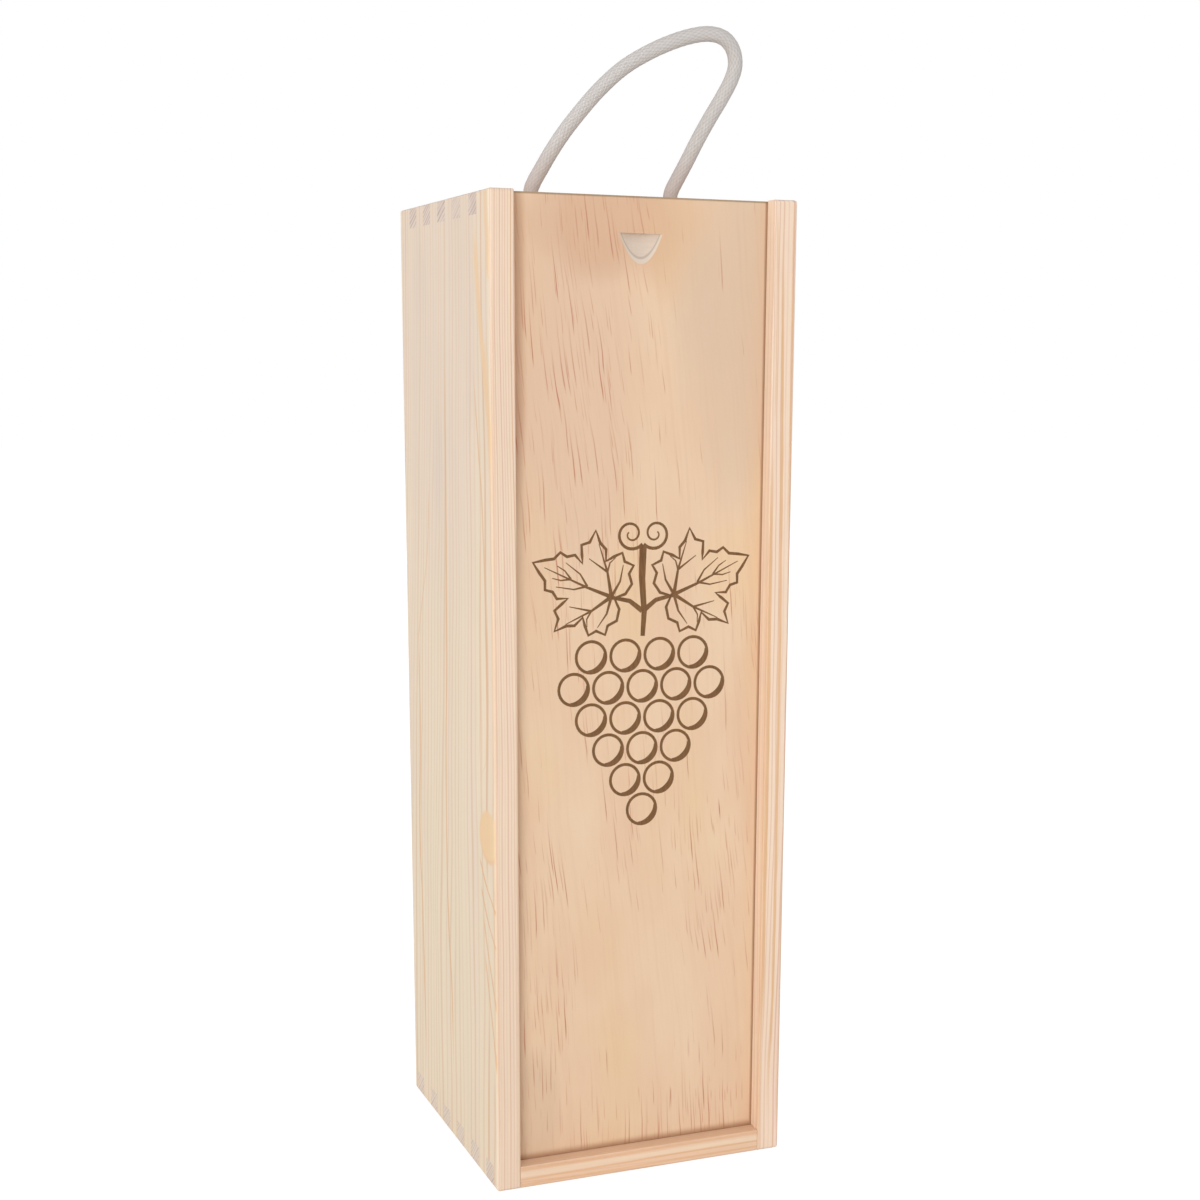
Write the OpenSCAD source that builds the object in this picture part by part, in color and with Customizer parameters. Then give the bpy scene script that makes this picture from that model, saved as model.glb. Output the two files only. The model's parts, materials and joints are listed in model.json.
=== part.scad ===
// A tall pine box for one bottle: finger-jointed corners, a lid that slides up in grooves
// behind the front lips of the sides, and a rope handle through the top board.
// Frame: +Z up, +X to the right of someone facing the lid, the lid faces -Y.
// The origin is the middle of the underside. Millimetres.

/* [Box] */
// Outside width, left to right
box_w = 112; // [90:1:180]
// Outside depth, front to back
box_d = 111; // [80:1:180]
// Outside height, without the rope
box_h = 349; // [200:1:450]
// Thickness of the two side boards
side_t = 8.8; // [7:0.1:12]
// Thickness of the bottom board
bottom_t = 8.4; // [7:0.1:12]
// Thickness of the top board
top_t = 7.5; // [7:0.1:12]
// Rounding of the sanded outer edges
edge_r = 1.2; // [0.4:0.1:2.5]

/* [Finger joints] */
// Width of one finger
finger_w = 9.3; // [5:0.1:15]

/* [Grooves] */
// How deep the grooves are cut into the boards
groove_depth = 3.5; // [2:0.1:4.5]

/* [Lid] */
// Thickness of the sliding lid
lid_t = 4; // [3:0.1:5]
// How far the lid's face lies behind the front of the box
lid_recess = 6.4; // [5:0.1:9]
// Running gap on each face of the lid, in its grooves
lid_face_gap = 0.2; // [0.1:0.05:0.5]
// Running gap at each edge of the lid, in its grooves
lid_edge_gap = 0.4; // [0.2:0.05:1]
// How far the lid's top edge lies below the top of the box
lid_drop = 0.3; // [0:0.1:3]

/* [Thumb notch] */
// Width of the notch along its straight upper edge
notch_w = 16; // [10:0.5:30]
// Height of the notch
notch_h = 10.2; // [6:0.2:20]
// Depth of the notch at its upper edge
notch_depth = 2.4; // [1:0.1:2.8]
// Distance from the lid's top edge down to the notch
notch_drop = 12.2; // [5:0.1:40]

/* [Back panel] */
// Thickness of the back panel
back_t = 4; // [3:0.1:5]
// How far the back panel lies in front of the back edges
back_recess = 6.4; // [5:0.1:9]
// Gap on each face of the back panel, in its grooves
back_face_gap = 0.1; // [0.05:0.05:0.3]
// Gap at each edge of the back panel, in its grooves
back_edge_gap = 0.5; // [0.2:0.1:1]

/* [Rope] */
// Diameter of the rope
rope_d = 5.2; // [4:0.1:8]
// Gap between the rope and its hole, all round
hole_gap = 0.5; // [0.2:0.1:1]
// Distance between the two holes
hole_span = 53; // [40:1:70]
// Place of the holes behind the middle of the box's depth
hole_y = -11; // [-15:1:15]
// Forward lean of the loop, from upright
loop_lean = 15; // [0:1:40]
// Gap between the loop's lower ends and the top board
loop_gap = 0.3; // [0.2:0.1:1]
// Width of a knot
knot_w = 15.5; // [12:0.5:24]
// Height of a knot
knot_h = 17; // [10:0.5:24]
// Rounding of a knot's outline
knot_r = 5; // [2:0.5:6]
// Length of the rope's tail below a knot
tail_l = 9; // [5:0.5:30]

/* [Hidden] */
$fn = 64;

// How far a cutting shape reaches past the face that it cuts.
over = 1;

inner_w = box_w - 2 * side_t;
front_y = -box_d / 2;
back_y = box_d / 2;

// Faces of the lid and of the space that it runs in.
lid_y = front_y + lid_recess;
lid_w = inner_w + 2 * groove_depth - 2 * lid_edge_gap;
lid_z = bottom_t - groove_depth + lid_edge_gap;
lid_top_z = box_h - lid_drop;
top_board_y = lid_y + lid_t + lid_face_gap;

// Faces of the back panel.
panel_y = back_y - back_recess - back_t;
panel_w = inner_w + 2 * groove_depth - 2 * back_edge_gap;
panel_z = bottom_t - groove_depth + back_edge_gap;
panel_top_z = box_h - top_t + groove_depth - back_edge_gap;

// The corner joints are one comb of equal cells, centred on the depth of the box.
// The bottom board has the even cells, and the top board those odd ones that lie behind the lid.
cells = 2 * floor((box_d / finger_w - 1) / 2) + 1;
comb_y = -cells * finger_w / 2;
bottom_fingers = [for (i = [0 : 2 : cells - 1]) comb_y + i * finger_w];
top_fingers = [for (i = [1 : 2 : cells - 1]) if (comb_y + i * finger_w >= top_board_y) comb_y + i * finger_w];

// The rope's loop, as [right, up] in its own leaning plane, from the left hole to the right one.
// It turns about the line through the middles of its two lower ends.
loop_z = box_h + rope_d / 2 + loop_gap;
LOOP = [[-hole_span / 2, 0], [-25.6, 3.4], [-23.6, 7.4], [-20, 14.2], [-15.8, 21], [-10.2, 28.6],
        [-4, 36], [3.4, 43], [11.5, 48.3], [20, 52.5], [28.2, 55.4], [35, 56.5], [40.6, 55.4],
        [44.4, 51.9], [46, 47], [45.2, 42], [42.5, 35.8], [38.6, 28.4], [34.9, 20.8], [31.6, 13.2],
        [28.5, 6.4], [27, 3], [hole_span / 2, 0]];
rope_sides = 10;
// Angles of the rings that round off the loop's lower ends.
CAP = [25, 55];

pine = [0.89, 0.80, 0.67];
pine_end = [0.90, 0.80, 0.68];
plywood = [0.89, 0.77, 0.62];
plywood_back = [0.88, 0.79, 0.66];
cotton = [0.82, 0.80, 0.78];

// A rectangle with rounded corners, centred.
module rounded_rectangle(w, h, r) {
    square([w - 2 * r, h], center = true);
    square([w, h - 2 * r], center = true);
    for (x = [-1, 1], y = [-1, 1])
        translate([x * (w / 2 - r), y * (h / 2 - r)])
            circle(r);
}

// The whole box as one block, with its sanded outer edges.
module sanded_block() {
    translate([0, 0, box_h / 2])
        intersection() {
            linear_extrude(box_h, center = true)
                rounded_rectangle(box_w, box_d, edge_r);
            rotate([90, 0, 0])
                linear_extrude(box_d, center = true)
                    rounded_rectangle(box_w, box_h, edge_r);
            rotate([90, 0, 90])
                linear_extrude(box_w, center = true)
                    rounded_rectangle(box_d, box_h, edge_r);
        }
}

// A block between two corners, low and high.
module block(low, high) {
    translate(low)
        cube(high - low);
}

// The space that the lid runs in, open at the top.
module lid_space() {
    reach = inner_w / 2 + groove_depth;
    block([-reach, lid_y - lid_face_gap, bottom_t - groove_depth],
          [reach, lid_y + lid_t + lid_face_gap, box_h + over]);
}

// The groove all round for the back panel, with the space between.
module back_space() {
    reach = inner_w / 2 + groove_depth;
    block([-reach, panel_y - back_face_gap, bottom_t - groove_depth],
          [reach, panel_y + back_t + back_face_gap, box_h - top_t + groove_depth]);
}

// Blocks across the full width at each place in a list, for fingers or for the slots that take them.
module finger_blocks(places, low_z, high_z) {
    for (y = places)
        block([-box_w / 2 - over, y, low_z], [box_w / 2 + over, y + finger_w, high_z]);
}

// One side board. side is -1 on the left and 1 on the right.
module side_board(side) {
    color(pine)
        difference() {
            intersection() {
                sanded_block();
                translate([side * (box_w - side_t) / 2, 0, box_h / 2])
                    cube([side_t, box_d, box_h], center = true);
            }
            finger_blocks(bottom_fingers, -over, bottom_t);
            finger_blocks(top_fingers, box_h - top_t, box_h + over);
            lid_space();
            back_space();
        }
}

module left_side() {
    side_board(-1);
}

module right_side() {
    side_board(1);
}

module bottom_board() {
    color(pine_end)
        difference() {
            intersection() {
                sanded_block();
                union() {
                    block([-inner_w / 2, front_y, 0], [inner_w / 2, back_y, bottom_t]);
                    finger_blocks(bottom_fingers, 0, bottom_t);
                }
            }
            lid_space();
            back_space();
        }
}

module top_board() {
    color(pine_end)
        difference() {
            intersection() {
                sanded_block();
                union() {
                    block([-inner_w / 2, top_board_y, box_h - top_t], [inner_w / 2, back_y, box_h]);
                    finger_blocks(top_fingers, box_h - top_t, box_h);
                }
            }
            back_space();
            for (side = [-1, 1])
                translate([side * hole_span / 2, hole_y, box_h - top_t - over])
                    cylinder(d = rope_d + 2 * hole_gap, h = top_t + 2 * over);
        }
}

module back_panel() {
    color(plywood_back)
        block([-panel_w / 2, panel_y, panel_z], [panel_w / 2, panel_y + back_t, panel_top_z]);
}

// The notch is what a round cutter leaves when it is laid at a slant into the lid:
// deep below a straight level edge, and running out in a curve further down.
module thumb_notch() {
    edge_z = lid_top_z - notch_drop;
    slant = atan(notch_depth / notch_h);
    bite = notch_depth * cos(slant);
    cutter_r = (pow(notch_w / 2, 2) + pow(bite, 2)) / (2 * bite);
    intersection() {
        translate([0, lid_y + notch_depth - cutter_r / cos(slant), edge_z])
            rotate([180 - slant, 0, 0])
                cylinder(r = cutter_r, h = 6 * notch_h, center = true, $fn = 128);
        block([-notch_w, lid_y - over, edge_z - 2 * notch_h], [notch_w, lid_y + notch_depth + over, edge_z]);
    }
}

module sliding_lid() {
    color(plywood)
        difference() {
            block([-lid_w / 2, lid_y, lid_z], [lid_w / 2, lid_y + lid_t, lid_top_z]);
            thumb_notch();
        }
}

function unit(v) = v / norm(v);

// The direction of the loop at one of its points.
function loop_way(i) = unit(LOOP[min(i + 1, len(LOOP) - 1)] - LOOP[max(i - 1, 0)]);

// One ring of the rope's surface, round a point of the loop's plane.
function ring(at, way, r) = [for (k = [0 : rope_sides - 1])
    let (turn = 360 * k / rope_sides, out = r * cos(turn))
    [at[0] + out * way[1], r * sin(turn), at[1] - out * way[0]]];

// The loop's rings in order, with a rounded end at each hole.
function loop_rings() =
    let (last = len(LOOP) - 1, r = rope_d / 2, start = [0, 1], end = [0, -1])
    concat(
        [for (a = CAP) ring(LOOP[0] - start * r * cos(a), start, r * sin(a))],
        [ring(LOOP[0], start, r)],
        [for (i = [1 : last - 1]) ring(LOOP[i], loop_way(i), r)],
        [ring(LOOP[last], end, r)],
        [for (i = [len(CAP) - 1 : -1 : 0]) ring(LOOP[last] + end * r * cos(CAP[i]), end, r * sin(CAP[i]))]);

module rope_handle() {
    rings = loop_rings();
    count = len(rings);
    first = LOOP[0] - [0, rope_d / 2];
    final = LOOP[len(LOOP) - 1] - [0, rope_d / 2];
    points = concat([for (r = rings) each r], [[first[0], 0, first[1]], [final[0], 0, final[1]]]);
    around = [for (k = [0 : rope_sides - 1]) [k, (k + 1) % rope_sides]];
    walls = [for (i = [0 : count - 2], k = around) each
        let (a = i * rope_sides, b = a + rope_sides)
        [[a + k[0], b + k[0], b + k[1]], [a + k[0], b + k[1], a + k[1]]]];
    tips = [for (k = around) each
        let (a = (count - 1) * rope_sides, tip = count * rope_sides)
        [[tip, k[0], k[1]], [tip + 1, a + k[1], a + k[0]]]];
    color(cotton)
        translate([0, hole_y, loop_z])
            rotate([loop_lean, 0, 0])
                polyhedron(points, concat(walls, tips));
}

// The stretch of rope in one hole, with the knot that holds it from below and the tail of the rope.
module rope_end(side) {
    knot_z = box_h - top_t - knot_h;
    color(cotton)
        translate([side * hole_span / 2, hole_y, 0]) {
            translate([0, 0, knot_z - tail_l])
                cylinder(d = rope_d, h = box_h - knot_z + tail_l);
            translate([0, 0, knot_z])
                rotate_extrude()
                    intersection() {
                        translate([0, knot_h / 2])
                            rounded_rectangle(knot_w, knot_h, knot_r);
                        square([knot_w, knot_h]);
                    }
        }
}

module rope_end_left() {
    rope_end(-1);
}

module rope_end_right() {
    rope_end(1);
}

left_side();
right_side();
top_board();
bottom_board();
back_panel();
sliding_lid();
rope_handle();
rope_end_left();
rope_end_right();
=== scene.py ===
"""A tall pine box for one bottle, with a plywood lid that slides up and a rope handle.

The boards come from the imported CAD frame. This script gives them their sanded edges and their
wood, cuts the vine ornament into the lid, and makes the rope and its two knots.
Frame: +Z up, the lid faces -Y. Blender's lengths are metres; lengths named here are millimetres.
"""
import json
import math

import bmesh
import bpy
from mathutils import Matrix, Vector


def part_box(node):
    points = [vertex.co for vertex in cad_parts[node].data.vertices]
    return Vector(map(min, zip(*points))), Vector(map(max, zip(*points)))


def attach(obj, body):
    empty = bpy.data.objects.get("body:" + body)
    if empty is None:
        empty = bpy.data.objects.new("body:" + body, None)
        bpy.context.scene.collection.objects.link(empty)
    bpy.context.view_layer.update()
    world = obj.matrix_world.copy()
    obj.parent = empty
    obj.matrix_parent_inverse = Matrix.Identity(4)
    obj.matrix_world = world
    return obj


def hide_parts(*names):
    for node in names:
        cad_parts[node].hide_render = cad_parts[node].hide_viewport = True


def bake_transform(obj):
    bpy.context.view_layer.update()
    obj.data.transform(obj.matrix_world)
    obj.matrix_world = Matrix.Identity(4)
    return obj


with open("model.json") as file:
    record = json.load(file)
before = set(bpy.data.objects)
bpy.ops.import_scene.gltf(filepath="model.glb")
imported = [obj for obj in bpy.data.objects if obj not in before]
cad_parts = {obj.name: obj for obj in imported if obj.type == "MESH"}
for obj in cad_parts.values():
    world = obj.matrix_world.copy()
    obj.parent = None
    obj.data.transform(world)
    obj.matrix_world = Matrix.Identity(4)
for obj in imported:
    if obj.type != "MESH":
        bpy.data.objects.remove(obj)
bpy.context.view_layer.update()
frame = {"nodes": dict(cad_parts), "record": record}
MM = 0.001

# ---------------------------------------------------------------- sizes read from the frame


def span(node, axis):
    """The lowest and highest place of a CAD node along one axis, in millimetres."""
    low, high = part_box(node)
    return low[axis] / MM, high[axis] / MM


SIDE_LEFT = span("left_side", 0)[0]
INNER_RIGHT, SIDE_RIGHT = span("right_side", 0)
BOX_FRONT, BOX_BACK = span("left_side", 1)
BOX_TOP = span("left_side", 2)[1]
LID_FRONT, LID_BACK = span("sliding_lid", 1)
LID_TOP = span("sliding_lid", 2)[1]
PANEL_FRONT, PANEL_BACK = span("back_panel", 1)
TOP_BOARD_UNDERSIDE = span("top_board", 2)[0]
RAIL_TOP = span("bottom_board", 2)[1]

# ---------------------------------------------------------------- camera

# The photograph's camera, from a fit to the box's corners: place, heading to the right of +Y,
# tilt, turn about the line of sight, and focal length and middle of the lens in pixels.
IMAGE_SIDE = 1200
CAMERA_PLACE = (-251.1, -674.7, 293.7)
CAMERA_HEADING = 22.35
CAMERA_TILT = -11.42
CAMERA_TURN = 0.43
FOCAL_PX = 1921.3
LENS_MIDDLE_PX = (653.8, 750.3)
SENSOR = 36.0


def make_camera():
    lens = bpy.data.cameras.new("camera")
    lens.sensor_width = SENSOR
    lens.lens = FOCAL_PX / IMAGE_SIDE * SENSOR
    lens.shift_x = (IMAGE_SIDE / 2 - LENS_MIDDLE_PX[0]) / IMAGE_SIDE
    lens.shift_y = (LENS_MIDDLE_PX[1] - IMAGE_SIDE / 2) / IMAGE_SIDE
    lens.clip_start = 0.01
    lens.clip_end = 50
    camera = bpy.data.objects.new("camera", lens)
    bpy.context.scene.collection.objects.link(camera)
    camera.matrix_world = (
        Matrix.Translation(Vector(CAMERA_PLACE) * MM)
        @ Matrix.Rotation(math.radians(-CAMERA_HEADING), 4, "Z")
        @ Matrix.Rotation(math.radians(90 + CAMERA_TILT), 4, "X")
        @ Matrix.Rotation(math.radians(CAMERA_TURN), 4, "Z")
    )
    bpy.context.scene.camera = camera


make_camera()

# ---------------------------------------------------------------- material building


class Shade:
    """A socket of a material. Python's operators on it add Math nodes to that material."""

    def __init__(self, paint, socket):
        self.paint = paint
        self.socket = socket

    def math(self, operation, *others):
        inputs = dict(enumerate((self, *others)))
        return self.paint.node("Math", {"operation": operation}, inputs)

    def from_the_right(self, operation, other):
        return self.paint.node("Math", {"operation": operation}, {0: other, 1: self})

    def __add__(self, other):
        return self.math("ADD", other)

    def __sub__(self, other):
        return self.math("SUBTRACT", other)

    def __mul__(self, other):
        return self.math("MULTIPLY", other)

    def __truediv__(self, other):
        return self.math("DIVIDE", other)

    def __pow__(self, other):
        return self.math("POWER", other)

    def __radd__(self, other):
        return self.from_the_right("ADD", other)

    def __rsub__(self, other):
        return self.from_the_right("SUBTRACT", other)

    def __rmul__(self, other):
        return self.from_the_right("MULTIPLY", other)

    def rise(self, low, high):
        """0 below low, 1 above high, and smooth between them."""
        settings = {"interpolation_type": "SMOOTHSTEP"}
        return self.paint.node("MapRange", settings, {0: self, 1: low, 2: high})

    def fall(self, low, high):
        return 1 - self.rise(low, high)


# The share of a single grain line's length over which it fades, at each end.
STREAK_FADE = 0.15


class Paint:
    """A material under construction."""

    def __init__(self, name):
        self.material = bpy.data.materials.new(name)
        self.material.use_nodes = True
        self.tree = self.material.node_tree
        self.tree.nodes.clear()

    def node(self, kind, settings=None, inputs=None, out=0):
        made = self.tree.nodes.new("ShaderNode" + kind)
        for name, value in (settings or {}).items():
            if name == "curve":
                spots = made.mapping.curves[0].points
                spots[0].location, spots[1].location = value[0], value[-1]
                for place in value[1:-1]:
                    spots.new(*place)
                made.mapping.update()
            else:
                setattr(made, name, value)
        for name, value in (inputs or {}).items():
            if isinstance(value, Shade):
                self.tree.links.new(value.socket, made.inputs[name])
            else:
                made.inputs[name].default_value = value
        return Shade(self, made.outputs[out]) if made.outputs else None

    def place(self):
        """The x, y and z of a point of the piece, in millimetres."""
        metres = self.node("TexCoord", out="Object")
        settings = {"operation": "SCALE"}
        point = self.node("VectorMath", settings, {0: metres, "Scale": 1 / MM})
        split = self.node("SeparateXYZ", None, {0: point}).socket.node
        return [Shade(self, output) for output in split.outputs]

    def noise(self, x, y, z, detail=2.0, roughness=0.5):
        """Soft noise about 0.5, with features about one unit of x, y and z in size."""
        point = self.node("CombineXYZ", None, {0: x, 1: y, 2: z})
        inputs = {"Vector": point, "Scale": 1.0, "Detail": detail, "Roughness": roughness}
        return self.node("TexNoise", {"noise_dimensions": "3D"}, inputs)

    def chance(self, number):
        """An unordered value from 0 to 1 for each whole number."""
        return self.node("TexWhiteNoise", {"noise_dimensions": "1D"}, {"W": number})

    def mix(self, factor, a, b):
        settings = {"data_type": "RGBA", "blend_type": "MIX"}
        return self.node("Mix", settings, {0: factor, 6: a, 7: b}, out=2)

    def dim(self, colour, factor):
        """The colour times a number that varies."""
        grey = self.node("CombineColor", None, {0: factor, 1: factor, 2: factor})
        settings = {"data_type": "RGBA", "blend_type": "MULTIPLY"}
        return self.node("Mix", settings, {0: 1.0, 6: colour, 7: grey}, out=2)

    def blots(self, tone, a, b, blots, ripple):
        """Broad soft areas of colour, each as its place and half size along a and b, its share
        and its colour. ripple makes their outlines uneven."""
        for place_a, place_b, half_a, half_b, share, tint in blots:
            reach = ((a - place_a) / half_a) ** 2 + ((b - place_b) / half_b) ** 2
            tone = self.mix((reach + ripple).fall(0.1, 1.2) * share, tone, tint)
        return tone

    def streaks(self, tone, across, along, streaks, ripple, on_face):
        """Single lines of grain, each as its half width, its share, its colour and the places
        that it runs through, as (along, across) with along rising. Each fades out over the first
        and last STREAK_FADE of its length."""
        for half_width, share, tint, places in streaks:
            low, high = places[0][0], places[-1][0]
            least = min(place[1] for place in places)
            spread = max(place[1] for place in places) - least
            curve = [((a - low) / (high - low), (b - least) / spread) for a, b in places]
            inputs = {"Value": (along - low) / (high - low)}
            middle = self.node("FloatCurve", {"curve": curve}, inputs) * spread + least
            gap = (across - middle).math("ABSOLUTE") + ripple * half_width
            fade = (high - low) * STREAK_FADE
            line = gap.fall(half_width * 0.3, half_width * 1.2)
            line = line * along.rise(low, low + fade) * along.fall(high - fade, high)
            tone = self.mix(line * on_face * share, tone, tint)
        return tone

    def dashes(self, run, along, pitch, length, seed, density):
        """Short thin lines along the grain that fade at both ends, darkest near the lower one."""
        column = (run / pitch).math("FLOOR")
        stack = along / length + self.chance(column + seed) * 9
        cell = stack.math("FLOOR")

        def draw(column_factor, cell_factor):
            """One draw for each cell. Uneven factors keep the draws of neighbours apart."""
            return self.chance(column * column_factor + cell * cell_factor + seed)

        there = draw(7.31, 3.77)
        shift = (draw(1.93, 5.11) - 0.5) * 0.5
        off_middle = (run / pitch - column - 0.5 - shift).math("ABSOLUTE")
        run_up = stack - cell
        shape = run_up.rise(0.04, 0.22) * run_up.fall(0.22, 0.9)
        force = draw(2.57, 8.13) ** 1.5 * 0.75 + 0.25
        shape = shape * force * (density - there).rise(0.0, 0.15)
        return off_middle.fall(0.05, 0.21) * shape

    def finish(self, colour, roughness, height=None, relief=0.02, **fixed):
        """Closes the material. height is a value from 0 to 1, and relief is the depth of that in
        millimetres."""
        inputs = {"Base Color": colour, "Roughness": roughness, **fixed}
        if height is not None:
            bump = {"Height": height, "Distance": relief * MM, "Strength": 1.0}
            inputs["Normal"] = self.node("Bump", None, bump)
        surface = self.node("BsdfPrincipled", None, inputs)
        self.node("OutputMaterial", None, {"Surface": surface})
        return self.material


def colour(red, green, blue):
    """A colour from its values on a screen, 0 to 255, as the light that the shader wants."""

    def light(value):
        share = value / 255
        return share / 12.92 if share <= 0.04045 else ((share + 0.055) / 1.055) ** 2.4

    return (light(red), light(green), light(blue), 1.0)


# ---------------------------------------------------------------- woods

# Pine. The grounds are of a plain year and of a pinkish one.
FACE_GROUND = (colour(232, 214, 188), colour(232, 210, 190))
FACE_LATE = colour(216, 183, 150)
FACE_RARE = colour(216, 170, 126)
FRONT_LATE = colour(212, 160, 130)
FRONT_ORANGE = colour(240, 206, 179)
END_GROUND = (colour(222, 204, 189), colour(218, 199, 185))
END_LATE = colour(179, 155, 149)
END_RARE = colour(160, 137, 133)
RESIN = (colour(235, 197, 152), colour(234, 203, 160))
RESIN_RIM = colour(228, 184, 138)
# Where late wood begins and is full in a year, and where it starts and stops to fade.
LATE_BEGINS = (0.50, 0.82)
LATE_ENDS = (0.84, 1.0)
# How deep a face's own colours reach in from it, from full to none, and how soft the line is
# between the colours of the left and the front face at their corner.
FACE_DEPTH = (0.8, 1.6)
CORNER_BLEND = 0.3

# Plywood. The grounds are the two tones of its faces.
PLY_GROUND = (colour(232, 203, 171), colour(228, 194, 162))
PLY_FIGURE = colour(225, 186, 154)
PLY_WARM = colour(231, 198, 152)
PLY_LINES = colour(214, 168, 136)
RESIN_LINE = colour(190, 118, 88)
FINE_RESIN_LINE = colour(200, 132, 100)
# Painted shade for the narrow slits at the side grooves and at the rail.
SLIT_SHADE = colour(160, 110, 74)
CUT_VENEER = colour(218, 201, 184)
CUT_CORE = (colour(220, 201, 184), colour(210, 190, 171))
GLUE_LINE = colour(192, 173, 157)
PLY_TOP_EDGE = colour(136, 112, 80)
# Thickness of a face veneer, and of a line of glue, in millimetres.
VENEER = 0.45
GLUE = 0.10

BURNT = (colour(128, 90, 52), colour(112, 76, 42))


def pine(name, grain, pith, ring, seed, end_grain=False, blush=0.5, line=0.8, end_line=0.8,
         sway=5.5, widen=0.0, ground=FACE_GROUND, front_share=0.0, tints=(), end_tints=(),
         side_streaks=(), front_streaks=(), patches=()):
    """Solid pine. grain is the axis that the tree grew along, pith the middle of its rings on the
    two other axes, ring the width of a year, line the strength of the late wood, sway how far the
    years wander, widen how much broader they are at the low end, and blush the share of pinkish
    years. front_share is how much more orange the front face is. tints and end_tints are broad
    areas of the faces and of the end grain, and patches are resin patches on the board's left
    face: (across, along, half width, half height, and for tints a share and a colour).
    side_streaks and front_streaks are single lines on its left and front faces, as for
    Paint.streaks."""
    paint = Paint(name)
    x, y, z = paint.place()
    across, up, along = (x, y, z) if grain == "Z" else (y, z, x)

    wander = paint.noise(across / 45 + seed, up / 45, along / 190, detail=2.5)
    from_pith = ((across - pith[0]) ** 2 + (up - pith[1]) ** 2) ** 0.5
    if widen:
        reference = math.hypot(SIDE_LEFT - pith[0], BOX_FRONT - pith[1])
        from_pith = (from_pith - reference) / (1 + widen * along.fall(BOX_TOP * 0.1, BOX_TOP))
    years = from_pith / ring + (wander - 0.5) * sway
    years = years + (paint.noise(years / 5, seed, 0.0) - 0.5) * 2.4
    season = years.math("FRACT")
    year = years.math("FLOOR")
    past_corner = (y - BOX_FRONT) - (x - SIDE_LEFT)
    left_face = x.fall(*(SIDE_LEFT + depth for depth in FACE_DEPTH))
    left_face = left_face * past_corner.rise(-CORNER_BLEND, CORNER_BLEND)
    front_face = y.fall(*(BOX_FRONT + depth for depth in FACE_DEPTH))
    front_face = front_face * past_corner.fall(-CORNER_BLEND, CORNER_BLEND)
    luck = paint.chance(year + seed)
    other_luck = paint.chance(year + seed + 0.37)

    late = season.rise(*LATE_BEGINS) * season.fall(*LATE_ENDS)
    strength = late * (0.35 + 0.65 * luck)
    rare = other_luck.rise(0.86, 0.96) * late

    fibre = paint.noise(across * 2.6, up * 2.6, along / 16 + seed, detail=3.0, roughness=0.65)
    broad = paint.noise(across / 22, up / 22, along / 90 + seed * 2)

    if end_grain:
        early_tone, pink_tone = END_GROUND
        late_tone, rare_tone = END_LATE, END_RARE
        pores = paint.noise(across * 3.2, up * 3.2, along / 30, detail=2.0)
        line = end_line * paint.noise(across / 4, up / 4, along / 40, detail=1.5).rise(0.2, 0.5)
    else:
        early_tone, pink_tone = ground
        late_tone = paint.mix(front_face, FACE_LATE, FRONT_LATE)
        rare_tone = FACE_RARE
        pores = fibre
        low = along.fall(BOX_TOP * 0.1, BOX_TOP)
        line = line * (front_face * (0.3 - low * 0.45) + low * 0.2 + 0.8)

    tone = paint.mix(other_luck.rise(1 - blush - 0.15, 1 - blush + 0.15), early_tone, pink_tone)
    if end_grain:
        tone = paint.blots(tone, across, up, end_tints, wander - 0.5)
    else:
        tone = paint.blots(tone, up, along, tints, wander - 0.5)
    tone = paint.mix(front_face * front_share, tone, FRONT_ORANGE)
    tone = paint.mix(strength * line, tone, late_tone)
    tone = paint.mix(rare * line * 0.6, tone, rare_tone)
    ripple = (fibre - 0.5) * 1.2
    front_across = across if grain == "Z" else up
    tone = paint.streaks(tone, up, along, side_streaks, ripple, left_face)
    tone = paint.streaks(tone, front_across, along, front_streaks, ripple, front_face)
    for place_across, place_along, half_width, half_height in patches:
        reach = ((up - place_across) / half_width) ** 2
        reach = reach + ((along - place_along) / half_height) ** 2
        reach = reach + (wander - 0.5) * 1.2 + (fibre - 0.5) * 0.4
        rim = reach.rise(0.5, 0.85) * (place_along - along).rise(0.0, half_height)
        resin = paint.mix(broad.rise(0.3, 0.7), *RESIN)
        resin = paint.mix(rim * 0.8, resin, RESIN_RIM)
        tone = paint.mix(reach.fall(0.7, 1.05) * left_face * 0.95, tone, resin)
    tone = paint.dim(tone, 0.995 + (pores - 0.5) * 0.12 + (broad - 0.5) * 0.10)
    height = pores * 0.6 + late * 0.4
    return paint.finish(tone, 0.62 - late * 0.10, height, relief=0.03)


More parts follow.
